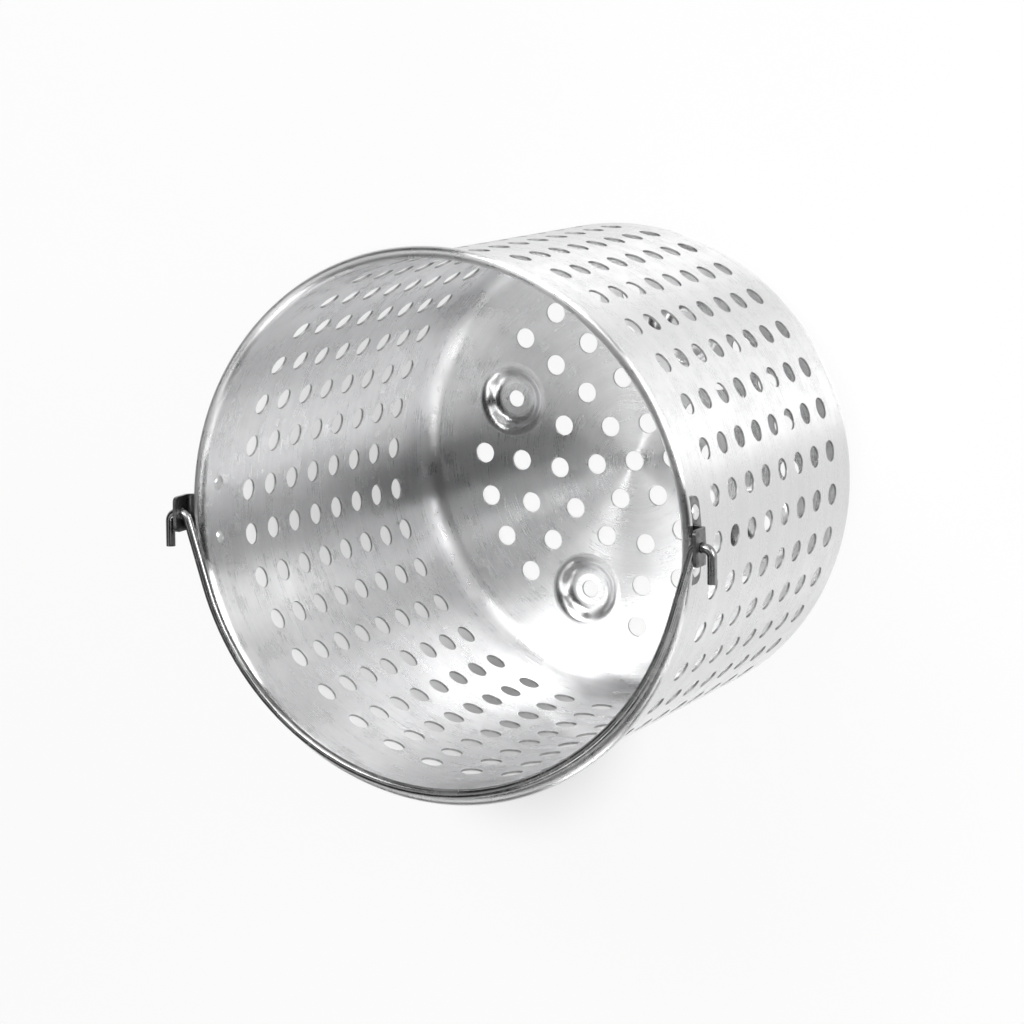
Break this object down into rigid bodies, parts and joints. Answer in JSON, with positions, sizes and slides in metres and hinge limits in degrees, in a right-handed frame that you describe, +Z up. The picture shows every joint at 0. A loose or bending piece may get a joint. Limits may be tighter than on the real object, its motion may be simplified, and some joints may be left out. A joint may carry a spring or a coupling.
{
  "type": "steamer basket",
  "caption": "Round perforated basket with a rolled rim, pressed feet, two riveted ears and a hooped wire bail that folds down on the rim.",
  "frame": {"origin": "centre of the base, on the plane that the four feet stand on", "axes": "+Z up out of the basket's mouth, X through the two ears, bail folded towards -Y"},
  "size_m": [0.3574, 0.3238, 0.28],
  "materials": {
    "spun_aluminium": "spun, satin, with fine lines round the axis",
    "plated_steel": "plated, dulled by use",
    "rivet_aluminium": "formed head, satin",
    "bail_wire": "drawn wire, bright"
  },
  "bodies": {
    "basket": {"basket_shell": "spun_aluminium", "ear_right": "plated_steel", "ear_left": "plated_steel", "rivet_right_front": "rivet_aluminium", "rivet_right_rear": "rivet_aluminium", "rivet_left_front": "rivet_aluminium", "rivet_left_rear": "rivet_aluminium"},
    "bail": {"bail": "bail_wire"}
  },
  "joints": [
    {"name": "bail_hinge", "type": "hinge", "parent": "basket", "child": "bail", "pos_m": [0, 0, 0.272], "axis": [-1, 0, 0], "range_deg": [0, 176]}
  ]
}
